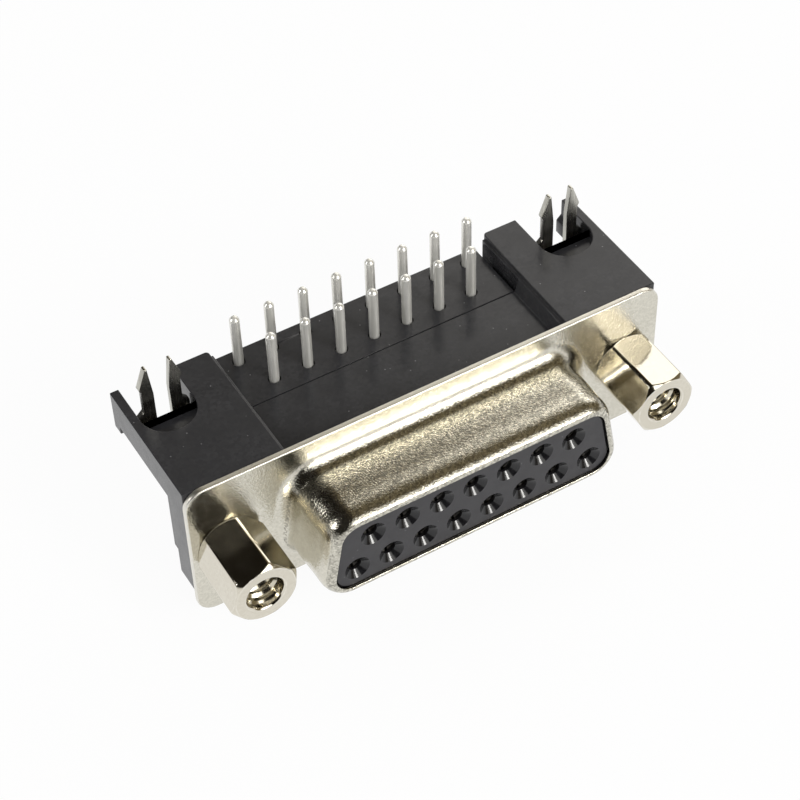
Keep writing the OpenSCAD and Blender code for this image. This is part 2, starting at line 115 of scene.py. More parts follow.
class Effects:
    """Node groups that the finishes share, each built once."""

    def __init__(self) -> None:
        """Builds the groups."""
        self.drift = self._drift()
        self.grain = self._grain()
        self.specks = self._specks()
        # Mask of the painted highlight on rounded edges.
        self.edge = self._marked("painted_edge_highlight", EDGE_MARK, least=0.2)
        # Mask of worked faces; on contact ends and mouth cones its tone is painted shade.
        self.worked_and_shade = self._marked("worked_and_shade_face", WORK_AND_SHADE_MARK, least=0.75)
        self.drawn = self._marked("drawn_face", DRAWN_MARK, least=0.85)

    @staticmethod
    def _new(name: str, inputs: dict[str, str], outputs: dict[str, str]) -> bpy.types.ShaderNodeTree:
        """Makes an empty group.

        Args:
            name: Name of the group.
            inputs: Socket type of each input, by name.
            outputs: Socket type of each output, by name.

        Returns:
            The group, with its input and output nodes in place.
        """
        tree = bpy.data.node_groups.new(name, "ShaderNodeTree")
        for label, kind in inputs.items():
            tree.interface.new_socket(label, in_out="INPUT", socket_type=kind)
        for label, kind in outputs.items():
            tree.interface.new_socket(label, in_out="OUTPUT", socket_type=kind)
        tree.nodes.new("NodeGroupInput").name = "in"
        tree.nodes.new("NodeGroupOutput").name = "out"
        return tree

    def _drift(self) -> bpy.types.ShaderNodeTree:
        """Builds a slow change of tone over a surface.

        Returns:
            Group with a value from 0 to 1.
        """
        tree = self._new(
            "slow_drift",
            {"Vector": "NodeSocketVector", "Scale": "NodeSocketFloat"},
            {"Value": "NodeSocketFloat"},
        )
        nodes, links = tree.nodes, tree.links
        noise = nodes.new("ShaderNodeTexNoise")
        noise.inputs["Detail"].default_value = 4
        noise.inputs["Roughness"].default_value = 0.6
        ramp = nodes.new("ShaderNodeMapRange")
        ramp.interpolation_type = "SMOOTHSTEP"
        ramp.inputs["From Min"].default_value, ramp.inputs["From Max"].default_value = NOISE_SPAN
        links.new(nodes["in"].outputs["Vector"], noise.inputs["Vector"])
        links.new(nodes["in"].outputs["Scale"], noise.inputs["Scale"])
        links.new(noise.outputs["Fac"], ramp.inputs["Value"])
        links.new(ramp.outputs["Result"], nodes["out"].inputs["Value"])
        return tree

    def _grain(self) -> bpy.types.ShaderNodeTree:
        """Builds fine grain, which a stretch turns into drawn or turned lines.

        Returns:
            Group with a height, a coarser mask and a speckle that follows single grains.
        """
        tree = self._new(
            "fine_grain",
            {"Vector": "NodeSocketVector", "Stretch": "NodeSocketVector", "Scale": "NodeSocketFloat"},
            {"Height": "NodeSocketFloat", "Mask": "NodeSocketFloat", "Speckle": "NodeSocketFloat"},
        )
        nodes, links = tree.nodes, tree.links
        stretch = nodes.new("ShaderNodeVectorMath")
        stretch.operation = "MULTIPLY"
        fine = nodes.new("ShaderNodeTexNoise")
        fine.inputs["Detail"].default_value = 3
        fine.inputs["Roughness"].default_value = 0.7
        coarse_scale = nodes.new("ShaderNodeMath")
        coarse_scale.operation = "MULTIPLY"
        coarse_scale.inputs[1].default_value = 0.22
        coarse = nodes.new("ShaderNodeTexNoise")
        coarse.inputs["Detail"].default_value = 2
        cells = nodes.new("ShaderNodeTexVoronoi")
        single = nodes.new("ShaderNodeSeparateColor")
        noises = nodes.new("ShaderNodeMath")
        noises.operation = "MULTIPLY_ADD"
        noises.inputs[1].default_value = 0.25
        height = nodes.new("ShaderNodeMath")
        height.operation = "MULTIPLY_ADD"
        height.inputs[1].default_value = 0.6
        links.new(nodes["in"].outputs["Vector"], stretch.inputs[0])
        links.new(nodes["in"].outputs["Stretch"], stretch.inputs[1])
        links.new(nodes["in"].outputs["Scale"], coarse_scale.inputs[0])
        scale = nodes["in"].outputs["Scale"]
        for texture, size in ((fine, scale), (coarse, coarse_scale.outputs[0]), (cells, scale)):
            links.new(stretch.outputs[0], texture.inputs["Vector"])
            links.new(size, texture.inputs["Scale"])
        links.new(coarse.outputs["Fac"], noises.inputs[0])
        links.new(fine.outputs["Fac"], noises.inputs[2])
        links.new(cells.outputs["Distance"], height.inputs[0])
        links.new(noises.outputs[0], height.inputs[2])
        links.new(cells.outputs["Color"], single.inputs["Color"])
        links.new(height.outputs[0], nodes["out"].inputs["Height"])
        links.new(coarse.outputs["Fac"], nodes["out"].inputs["Mask"])
        links.new(single.outputs["Red"], nodes["out"].inputs["Speckle"])
        return tree

    def _specks(self) -> bpy.types.ShaderNodeTree:
        """Builds sparse round specks of dust.

        Returns:
            Group with a mask that is 1 on a speck.
        """
        tree = self._new(
            "dust_specks",
            {"Vector": "NodeSocketVector", "Scale": "NodeSocketFloat", "Size": "NodeSocketFloat"},
            {"Mask": "NodeSocketFloat"},
        )
        nodes, links = tree.nodes, tree.links
        cells = nodes.new("ShaderNodeTexVoronoi")
        near = nodes.new("ShaderNodeMath")
        near.operation = "LESS_THAN"
        rare = nodes.new("ShaderNodeSeparateColor")
        pick = nodes.new("ShaderNodeMath")
        pick.operation = "GREATER_THAN"
        pick.inputs[1].default_value = 0.93
        mask = nodes.new("ShaderNodeMath")
        mask.operation = "MULTIPLY"
        links.new(nodes["in"].outputs["Vector"], cells.inputs["Vector"])
        links.new(nodes["in"].outputs["Scale"], cells.inputs["Scale"])
        links.new(cells.outputs["Distance"], near.inputs[0])
        links.new(nodes["in"].outputs["Size"], near.inputs[1])
        links.new(cells.outputs["Color"], rare.inputs["Color"])
        links.new(rare.outputs["Red"], pick.inputs[0])
        links.new(near.outputs[0], mask.inputs[0])
        links.new(pick.outputs[0], mask.inputs[1])
        links.new(mask.outputs[0], nodes["out"].inputs["Mask"])
        return tree

    def _marked(self, name: str, attribute: str, least: float) -> bpy.types.ShaderNodeTree:
        """Builds a mask from marked faces, broken up by noise.

        Args:
            name: Name of the group.
            attribute: Face attribute that marks the faces.
            least: Smallest share of the mark that the noise leaves.

        Returns:
            Group with a mask that is 1 where a marked face shows in full.
        """
        tree = self._new(
            name,
            {"Vector": "NodeSocketVector", "Scale": "NodeSocketFloat", "Amount": "NodeSocketFloat"},
            {"Mask": "NodeSocketFloat"},
        )
        nodes, links = tree.nodes, tree.links
        mark = nodes.new("ShaderNodeAttribute")
        mark.attribute_name = attribute
        noise = nodes.new("ShaderNodeTexNoise")
        noise.inputs["Detail"].default_value = 3
        spread = nodes.new("ShaderNodeMapRange")
        spread.inputs["From Min"].default_value = 0.35
        spread.inputs["From Max"].default_value = 0.65
        spread.inputs["To Min"].default_value = least
        broken = nodes.new("ShaderNodeMath")
        broken.operation = "MULTIPLY"
        amount = nodes.new("ShaderNodeMath")
        amount.operation = "MULTIPLY"
        links.new(nodes["in"].outputs["Vector"], noise.inputs["Vector"])
        links.new(nodes["in"].outputs["Scale"], noise.inputs["Scale"])
        links.new(noise.outputs["Fac"], spread.inputs["Value"])
        links.new(mark.outputs["Fac"], broken.inputs[0])
        links.new(spread.outputs["Result"], broken.inputs[1])
        links.new(broken.outputs[0], amount.inputs[0])
        links.new(nodes["in"].outputs["Amount"], amount.inputs[1])
        links.new(amount.outputs[0], nodes["out"].inputs["Mask"])
        return tree


# ----- Finishes


@dataclass(frozen=True)
class Finish:
    """A finish: its name, tones, roughness and grain, and how they become a material."""

    name: str
    tone: Triple
    second_tone: Triple
    grain_tone: Triple
    # Lighter tone on rounded edges: a painted highlight.
    edge_highlight_tone: Triple
    # Tone of marked worked faces; on the contacts' socket ends and the mouth cones it is painted shade.
    worked_and_shade_tone: Triple
    roughness: tuple[float, float]
    worked_roughness: float
    grain_scale: float
    grain_depth: float
    grain: Grain = Grain.NONE
    drift_scale: float = 180.0
    metallic: float = 0.0
    specular: float = 0.5
    flat_share: float = 1.0
    flat_speckle: float = 1.0
    speck_tone: Triple | None = None

    def build(self, effects: Effects) -> bpy.types.Material:
        """Makes the material.

        Args:
            effects: The shared node groups.

        Returns:
            The finished material.
        """
        material = bpy.data.materials.new(self.name)
        material.use_nodes = True
        nodes, links = material.node_tree.nodes, material.node_tree.links
        shader = nodes["Principled BSDF"]
        shader.inputs["Metallic"].default_value = self.metallic
        shader.inputs["Specular IOR Level"].default_value = self.specular
        nodes.new("ShaderNodeTexCoord").name = "place"
        drift = self._group(material, effects.drift, Scale=self.drift_scale)
        grain = self._group(material, effects.grain, Stretch=self.grain.value, Scale=self.grain_scale)
        edge = self._group(material, effects.edge, **EDGE_HIGHLIGHT_NOISE)
        worked_and_shade = self._group(material, effects.worked_and_shade, **WORKED_AND_SHADE_NOISE)
        last = self._mix(material, drift.outputs["Value"], self.tone, self.second_tone)
        drawn = self._group(material, effects.drawn, **DRAWN_WEAR).outputs["Mask"]
        speckle = self._times(material, grain.outputs["Speckle"], self._share(material, drawn, self.flat_speckle))
        last = self._mix(material, speckle, last, self.grain_tone)
        # Painted highlight: rounded edges get a lighter tone.
        last = self._mix(material, edge.outputs["Mask"], last, self.edge_highlight_tone)
        # Worked faces get their own tone; on contact socket ends and mouth cones this is painted shade.
        last = self._mix(material, worked_and_shade.outputs["Mask"], last, self.worked_and_shade_tone)
        if self.speck_tone:
            specks = self._group(material, effects.specks, **DUST)
            last = self._mix(material, specks.outputs["Mask"], last, self.speck_tone)
        links.new(last, shader.inputs["Base Color"])
        rough = nodes.new("ShaderNodeMapRange")
        rough.inputs["From Min"].default_value, rough.inputs["From Max"].default_value = NOISE_SPAN
        rough.inputs["To Min"].default_value, rough.inputs["To Max"].default_value = self.roughness
        shaped = nodes.new("ShaderNodeMix")
        shaped.inputs["B"].default_value = self.worked_roughness
        links.new(grain.outputs["Mask"], rough.inputs["Value"])
        links.new(worked_and_shade.outputs["Mask"], shaped.inputs["Factor"])
        links.new(rough.outputs["Result"], shaped.inputs["A"])
        links.new(shaped.outputs["Result"], shader.inputs["Roughness"])
        bump = nodes.new("ShaderNodeBump")
        bump.inputs["Strength"].default_value = 1
        bump.inputs["Distance"].default_value = self.grain_depth * MM
        height = self._times(material, grain.outputs["Height"], self._share(material, drawn, self.flat_share))
        links.new(height, bump.inputs["Height"])
        links.new(bump.outputs["Normal"], shader.inputs["Normal"])
        return material

    @staticmethod
    def _share(material: bpy.types.Material, mask: bpy.types.NodeSocket, least: float) -> bpy.types.NodeSocket:
        """Lets an effect work in full where a mask shows it, and less elsewhere.

        Args:
            material: The material.
            mask: Where the effect works in full.
            least: Share of the effect elsewhere.

        Returns:
            The share.
        """
        share = material.node_tree.nodes.new("ShaderNodeMapRange")
        share.inputs["To Min"].default_value = least
        material.node_tree.links.new(mask, share.inputs["Value"])
        return share.outputs["Result"]

    @staticmethod
    def _times(
        material: bpy.types.Material, first: bpy.types.NodeSocket, second: bpy.types.NodeSocket
    ) -> bpy.types.NodeSocket:
        """Multiplies two values.

        Args:
            material: The material.
            first: One value.
            second: The other value.

        Returns:
            The product.
        """
        product = material.node_tree.nodes.new("ShaderNodeMath")
        product.operation = "MULTIPLY"
        material.node_tree.links.new(first, product.inputs[0])
        material.node_tree.links.new(second, product.inputs[1])
        return product.outputs[0]

    @staticmethod
    def _mix(
        material: bpy.types.Material,
        mask: bpy.types.NodeSocket,
        under: bpy.types.NodeSocket | Triple,
        over: Triple,
    ) -> bpy.types.NodeSocket:
        """Lays one tone over another where a mask shows it.

        Args:
            material: The material.
            mask: Where the upper tone shows.
            under: The lower tone, or what gives it.
            over: The upper tone.

        Returns:
            The mixed tone.
        """
        nodes, links = material.node_tree.nodes, material.node_tree.links
        mix = nodes.new("ShaderNodeMix")
        mix.data_type = "RGBA"
        mix.inputs["B"].default_value = (*over, 1)
        if isinstance(under, tuple):
            mix.inputs["A"].default_value = (*under, 1)
        else:
            links.new(under, mix.inputs["A"])
        links.new(mask, mix.inputs["Factor"])
        return mix.outputs["Result"]

    @staticmethod
    def _group(
        material: bpy.types.Material, tree: bpy.types.ShaderNodeTree, **values: object
    ) -> bpy.types.ShaderNode:
        """Places a shared group in a material, on Object coordinates.

        Args:
            material: The material.
            tree: The group.
            **values: The group's own values, by input.

        Returns:
            The group node.
        """
        nodes, links = material.node_tree.nodes, material.node_tree.links
        node = nodes.new("ShaderNodeGroup")
        node.node_tree = tree
        links.new(nodes["place"].outputs["Object"], node.inputs["Vector"])
        for label, value in values.items():
            node.inputs[label].default_value = value
        return node


SHELL_PLATE = Finish(
    name="satin_nickel_sheet",
    tone=(0.71, 0.685, 0.6),
    second_tone=(0.66, 0.635, 0.55),
    grain_tone=(0.3, 0.29, 0.25),
    edge_highlight_tone=(0.8, 0.775, 0.7),
    worked_and_shade_tone=(0.78, 0.76, 0.7),
    roughness=(0.14, 0.21),
    worked_roughness=0.42,
    grain_scale=7200.0,
    grain_depth=0.015,
    metallic=1.0,
    flat_share=0.85,
    flat_speckle=0.24,
)
POST_PLATE = Finish(
    name="bright_nickel_post",
    tone=(0.7, 0.665, 0.575),
    second_tone=(0.64, 0.605, 0.51),
    grain_tone=(0.66, 0.62, 0.53),
    edge_highlight_tone=(0.76, 0.73, 0.65),
    worked_and_shade_tone=(0.62, 0.58, 0.47),
    roughness=(0.07, 0.13),
    worked_roughness=0.16,
    grain_scale=5000.0,
    grain_depth=0.0014,
    metallic=1.0,
)
LOCK_PLATE = Finish(
    name="tinned_lock_sheet",
    tone=(0.62, 0.61, 0.56),
    second_tone=(0.5, 0.49, 0.44),
    grain_tone=(0.42, 0.41, 0.37),
    edge_highlight_tone=(0.8, 0.78, 0.72),
    worked_and_shade_tone=(0.5, 0.48, 0.43),
    roughness=(0.2, 0.32),
    worked_roughness=0.4,
    grain_scale=5000.0,
    grain_depth=0.005,
    grain=Grain.ALONG_Z,
    metallic=1.0,
)
TAIL_TIN = Finish(
    name="tinned_contact_wire",
    tone=(0.95, 0.94, 0.9),
    second_tone=(0.86, 0.85, 0.81),
    grain_tone=(0.74, 0.73, 0.68),
    edge_highlight_tone=(0.95, 0.94, 0.9),
    # Near black: painted shade on the contacts' socket ends deep in the mouths.
    worked_and_shade_tone=(0.025, 0.02, 0.013),
    roughness=(0.2, 0.3),
    worked_roughness=0.3,
    grain_scale=5200.0,
    grain_depth=0.004,
    grain=Grain.ALONG_Z,
    drift_scale=900.0,
    metallic=0.53,
)
BLACK_MOULDING = Finish(
    name="black_housing_moulding",
    tone=(0.032, 0.032, 0.034),
    second_tone=(0.041, 0.041, 0.044),
    grain_tone=(0.03, 0.03, 0.033),
    edge_highlight_tone=(0.045, 0.045, 0.048),
    worked_and_shade_tone=(0.012, 0.012, 0.013),
    roughness=(0.18, 0.26),
    worked_roughness=0.25,
    grain_scale=4200.0,
    grain_depth=0.0016,
    drift_scale=320.0,
    specular=0.3,
    speck_tone=(0.17, 0.17, 0.175),
)
BLACK_FACE = Finish(
    name="black_insulator_moulding",
    tone=(0.017, 0.016, 0.018),
    second_tone=(0.024, 0.023, 0.026),
    grain_tone=(0.02, 0.019, 0.022),
    edge_highlight_tone=(0.05, 0.05, 0.054),
    # Darker than the face: painted shade on the mouth cones, which are also glossier.
    worked_and_shade_tone=(0.008, 0.008, 0.009),
    roughness=(0.32, 0.44),
    worked_roughness=0.1,
    grain_scale=4800.0,
    grain_depth=0.0014,
    specular=0.42,
    speck_tone=(0.1, 0.1, 0.105),
)


# ----- Mesh tools


def millimetres(*values: float) -> Vector:
    """Turns a point in millimetres into metres."""
    return Vector(values) * MM


def carry_round(
    bm: bmesh.types.BMesh, start: Geometry, centres: list[Vector], angles: list[float], steps: int
) -> None:
    """Carries vertices or a chain of edges round a closed outline of arcs and straights.

    Args:
        bm: The mesh.
        start: Geometry where the first arc starts.
        centres: Centres of the arcs, in order anticlockwise as seen from the front.
        angles: Direction of the outline's normal where each arc starts, and where the last ends, in degrees.
        steps: Steps of each arc.
    """
    geom = start
    for i, centre in enumerate(centres):
        turned = bmesh.ops.spin(
            bm, geom=geom, cent=centre, axis=FRONT, angle=math.radians(angles[i + 1] - angles[i]),
            steps=steps, use_merge=False, use_normal_flip=False, use_duplicate=False,
        )
        edges = [g for g in turned["geom_last"] if isinstance(g, bmesh.types.BMEdge)]
        if edges:
            geom = bmesh.ops.extrude_edge_only(bm, edges=edges)["geom"]
            geom = [g for g in geom if not isinstance(g, bmesh.types.BMFace)]
        else:
            verts = [g for g in turned["geom_last"] if isinstance(g, bmesh.types.BMVert)]
            geom = bmesh.ops.extrude_vert_indiv(bm, verts=verts)["verts"]
        verts = [g for g in geom if isinstance(g, bmesh.types.BMVert)]
        bmesh.ops.translate(bm, verts=verts, vec=centres[(i + 1) % len(centres)] - centre)
    bmesh.ops.remove_doubles(bm, verts=bm.verts[:], dist=SAME_PLACE)


def round_edges(
    bm: bmesh.types.BMesh,
    width: float,
    segments: int = 2,
    sharper_than: float = 30.0,
    behind: float = -math.inf,
    longer_than: float = 0.0,
) -> None:
    """Rounds sharp edges and marks the rounded faces, which the finishes paint lighter as a highlight.

    Args:
        bm: The mesh, whose flat faces are whole.
        width: Width of the rounding, in millimetres.
        segments: Segments of the rounding.
        sharper_than: Smallest angle between two faces that counts as sharp, in degrees.
        behind: Only edges behind this Y are rounded, in millimetres.
        longer_than: Only edges longer than this are rounded, in millimetres.
    """
    sharp = [
        e
        for e in bm.edges
        if e.is_manifold
        and e.calc_face_angle() > math.radians(sharper_than)
        and min(v.co.y for v in e.verts) > behind * MM
        and e.calc_length() > longer_than * MM
    ]
    made = bmesh.ops.bevel(
        bm, geom=sharp, offset=width * MM, offset_type="OFFSET", affect="EDGES", segments=segments,
        profile=0.5, material=-1, clamp_overlap=False,
    )
    mark = bm.faces.layers.float.get(EDGE_MARK) or bm.faces.layers.float.new(EDGE_MARK)
    for face in made["faces"]:
        if face.is_valid:
            face[mark] = 1


def mark_faces(
    bm: bmesh.types.BMesh, chosen: Callable[[bmesh.types.BMFace], bool], name: str = WORK_AND_SHADE_MARK
) -> None:
    """Marks faces that were cut, drawn or shaped apart from the rest of a piece, or whose finish paints them
    darker as shade.

    Args:
        bm: The mesh.
        chosen: Says whether a face is one of them.
        name: The mark.
    """
    mark = bm.faces.layers.float.get(name) or bm.faces.layers.float.new(name)
    for face in bm.faces:
        if chosen(face):
            face[mark] = 1


def node_copy(node: str) -> bmesh.types.BMesh:
    """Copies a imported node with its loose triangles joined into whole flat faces.

    Args:
        node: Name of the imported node.

    Returns:
        The copy.
    """
    bm = bmesh.new()
    bm.from_mesh(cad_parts[node].data)
    bmesh.ops.remove_doubles(bm, verts=bm.verts[:], dist=MERGE_WITHIN)
    bmesh.ops.dissolve_degenerate(bm, edges=bm.edges[:], dist=MERGE_WITHIN / 2)
    bmesh.ops.dissolve_limit(
        bm, angle_limit=FLAT_WITHIN, use_dissolve_boundaries=False, verts=bm.verts[:], edges=bm.edges[:]
    )
    return bm


def make_piece(
    bm: bmesh.types.BMesh, name: str, nodes: Iterable[str], material: bpy.types.Material
) -> bpy.types.Object:
    """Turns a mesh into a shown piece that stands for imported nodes.

    Args:
        bm: The mesh, which is freed.
        name: Name of the piece.
        nodes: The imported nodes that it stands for.
        material: Its material.

    Returns:
        The piece, which rides on the part.
    """
    mesh = bpy.data.meshes.new(name)
    bm.to_mesh(mesh)
    bm.free()
    mesh.materials.append(material)
    mesh.shade_smooth()
    mesh.set_sharp_from_angle(angle=SMOOTH_UP_TO)
    piece = bpy.data.objects.new(name, mesh)
    bpy.context.scene.collection.objects.link(piece)
    even = piece.modifiers.new("even_shading", "WEIGHTED_NORMAL")
    even.keep_sharp = True
    even.weight = AREA_WEIGHT
    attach(piece, "root")
    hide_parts(*nodes)
    log.info("%s: %d faces, stands for %s", name, len(mesh.polygons), ", ".join(nodes))
    return piece


# ----- Sub-assemblies


@dataclass
class FrontShell:
    """The drawn sheet: flange, bend, D-shaped shroud and turned-in front edge."""

    flange_y: float = FLANGE_Y
    axis_z: float = AXIS_Z
    flange_w: float = 39.14
    flange_h: float = 12.55
    flange_r: float = 1.5
    sheet: float = 0.5
    width: float = 24.66
    height: float = 7.9
    corner: float = 2.3
    slope: float = 10.0
    out: float = 5.95
    root_r: float = 1.2
    wall_lean: float = -1.5
    wall_bows: tuple[tuple[float, float], ...] = (
        (20.0, 3.5), (10.0, -2.5), (3.2, 8.0), (1.4, 40.0), (0.55, 90.0)
    )
    lip: float = 0.15
    hole_r: float = 1.55
    post_x: float = POST_X
    edge_r: float = 0.13
    edge_steps: int = 3
    sharp: float = 50.0
    front_slack: float = 0.1
    bend_steps: int = 14
    arc_steps: int = 8
    bow_step: float = 5.0
    least_steps: int = 6
    hole_steps: int = 32
    end_normal: float = 0.85
    cut_normal: float = 0.2

    def _outline(self) -> tuple[list[Vector], list[float]]:
        """Lays out the D.

        Returns:
            The centres of its corners on the flange, and the angles of its outline's normal.
        """
        low_x = self.width / 2 - self.corner
        rise = self.height - 2 * self.corner
        high_x = low_x - rise * math.tan(math.radians(self.slope))
        flat = [(low_x, -rise / 2), (high_x, rise / 2), (-high_x, rise / 2), (-low_x, -rise / 2)]
        centres = [millimetres(x, self.flange_y, self.axis_z + z) for x, z in flat]
        return centres, [-90, self.slope, 90, 180 - self.slope, 270]

    def _section(self, bm: bmesh.types.BMesh, centre: Vector) -> Geometry:
        """Draws the sheet's section in the plane where the first corner starts.

        The wall leaves the bend with a slight lean, bows as a drawn wall does, and turns in at its front.
        From there the section runs back along the sheet's inside.

        Args:
            bm: The mesh.
            centre: Centre of that corner, on the flange.

        Returns:
            The section's vertices and edges.
        """
        lean = math.radians(self.wall_lean)
        used, before = self.root_r * (1 - math.sin(lean)), lean
        for radius, angle in self.wall_bows:
            after = math.radians(angle)
            used += radius * abs(math.sin(after) - math.sin(before))
            before = after
        pen = bm.verts.new(centre + millimetres(0, 0, -self.corner - self.root_r))
        pen = self._arc(bm, pen, 90, self.wall_lean, self.root_r, self.bend_steps)
        pen = self._straight(bm, pen, self.wall_lean, (self.out - used) / math.cos(lean))
        angle = self.wall_lean
        for radius, target in self.wall_bows:
            steps = max(self.least_steps, round(abs(target - angle) / self.bow_step))
            pen = self._arc(bm, pen, angle, target, radius, steps)
            angle = target
        pen = self._arc(bm, pen, angle, 270, self.lip / 2, self.arc_steps)
        inset = (pen.co.z - centre.z) / MM + self.corner
        pen = self._straight(bm, pen, 270, inset - self.sheet)
        pen = self._straight(bm, pen, 180, self.out - self.lip - self.root_r)
        self._arc(bm, pen, 180, 270, self.root_r + self.sheet, self.arc_steps)
        return bm.verts[:] + bm.edges[:]

    @staticmethod
    def _outward(angle: float) -> Vector:
        """Direction of the sheet's outside where it is turned in by an angle in degrees."""
        return Vector((0, -math.sin(math.radians(angle)), -math.cos(math.radians(angle))))

    def _straight(
        self, bm: bmesh.types.BMesh, pen: bmesh.types.BMVert, angle: float, length: float
    ) -> bmesh.types.BMVert:
        """Draws a straight run of the section.

        Args:
            bm: The mesh.
            pen: Where the run starts.
            angle: How far the sheet is turned in there, in degrees.
            length: Length of the run, in millimetres.

        Returns:
            The run's end.
        """
        if length <= 0:
            return pen
        out = self._outward(angle)
        end = bmesh.ops.extrude_vert_indiv(bm, verts=[pen])["verts"][0]
        end.co += Vector((0, out.z, -out.y)) * length * MM
        return end

    def _arc(
        self, bm: bmesh.types.BMesh, pen: bmesh.types.BMVert, start: float, end: float, radius: float, steps: int
    ) -> bmesh.types.BMVert:
        """Draws an arc of the section, hollow where the sheet opens and round where it turns in.

        Args:
            bm: The mesh.
            pen: Where the arc starts.
            start: How far the sheet is turned in there, in degrees.
            end: How far it is turned in at the arc's end.
            radius: Radius of the arc, in millimetres.
            steps: Steps of the arc.

        Returns:
            The arc's end.
        """
        way = 1 if end < start else -1
        last = bmesh.ops.spin(
            bm, geom=[pen], cent=pen.co + self._outward(start) * way * radius * MM, axis=(1, 0, 0),
            angle=math.radians(start - end), steps=steps, use_merge=False,
        )["geom_last"]
        return next(g for g in last if isinstance(g, bmesh.types.BMVert))

    def build(self, material: bpy.types.Material) -> bpy.types.Object:
        """Makes the piece.

        Args:
            material: Its finish.

        Returns:
            The piece.
        """
        bm = bmesh.new()
        centres, angles = self._outline()
        carry_round(bm, self._section(bm, centres[0]), centres, angles, self.bend_steps)
        front_rim, back_rim = (self._rim(bm, y) for y in (self.flange_y, self.flange_y + self.sheet))
        outline = self._flange_outline(bm)
        sides = bmesh.ops.extrude_edge_only(bm, edges=outline)["geom"]
        moved = [g for g in sides if isinstance(g, bmesh.types.BMVert)]
        bmesh.ops.translate(bm, verts=moved, vec=millimetres(0, self.sheet, 0))
        back_outline = [g for g in sides if isinstance(g, bmesh.types.BMEdge) and set(g.verts) <= set(moved)]
        for edges, normal in ((front_rim + outline, FRONT), (back_rim + back_outline, -FRONT)):
            bmesh.ops.triangle_fill(bm, use_beauty=True, use_dissolve=False, edges=edges, normal=normal)
        bmesh.ops.recalc_face_normals(bm, faces=bm.faces[:])
        mark_faces(bm, self._is_cut)
        mark_faces(bm, self._is_drawn, DRAWN_MARK)
        round_edges(bm, self.edge_r, self.edge_steps, self.sharp, self.flange_y - self.front_slack)
        return make_piece(bm, "sheet_front_shell", ["front_shell"], material)

    @staticmethod
    def _rim(bm: bmesh.types.BMesh, y: float) -> list[bmesh.types.BMEdge]:
        """Finds the open edges of the mesh in a plane across Y, given in millimetres."""
        return [e for e in bm.edges if e.is_boundary and all(abs(v.co.y - y * MM) < SAME_PLACE for v in e.verts)]

    def _flange_outline(self, bm: bmesh.types.BMesh) -> list[bmesh.types.BMEdge]:
        """Draws the flange's outer edge and its two holes in the plane of its front.

        Args:
            bm: The mesh to draw in.

        Returns:
            The drawn edges.
        """
        plate = bmesh.new()
        half = Vector((self.flange_w / 2 - self.flange_r, 0, self.flange_h / 2 - self.flange_r)) * MM
        middle = millimetres(0, self.flange_y, self.axis_z)
        corners = [
            middle + Vector((x * half.x, 0, z * half.z)) for x, z in ((1, -1), (1, 1), (-1, 1), (-1, -1))
        ]
        start = plate.verts.new(corners[0] + millimetres(0, 0, -self.flange_r))
        carry_round(plate, [start], corners, [-90, 0, 90, 180, 270], self.arc_steps)
        for side in Side:
            hole = middle + millimetres(side.value * self.post_x, 0, 0)
            bmesh.ops.create_circle(
                plate, segments=self.hole_steps, radius=self.hole_r * MM,
                matrix=Matrix.Translation(hole) @ Matrix.Rotation(math.radians(90), 4, "X"),
            )
        outline = bpy.data.meshes.new("flange_outline")
        plate.to_mesh(outline)
        plate.free()
        before = set(bm.edges)
        bm.from_mesh(outline)
        bpy.data.meshes.remove(outline)
        return [e for e in bm.edges if e not in before]

    def _is_drawn(self, face: bmesh.types.BMFace) -> bool:
        """Says whether a face lies on the shroud's stretched long sides."""
        front = face.calc_center_median().y < (self.flange_y - self.root_r / 3) * MM
        return front and abs(face.normal.x) < self.end_normal

    def _is_cut(self, face: bmesh.types.BMFace) -> bool:
        """Says whether a face is the flange's sheared outer edge."""
        at, half_w, half_h = face.calc_center_median() / MM, self.flange_w / 2, self.flange_h / 2
        near = abs(at.x) > half_w - self.flange_r or abs(at.z - self.axis_z) > half_h - self.flange_r
        return near and abs(face.normal.y) < self.cut_normal


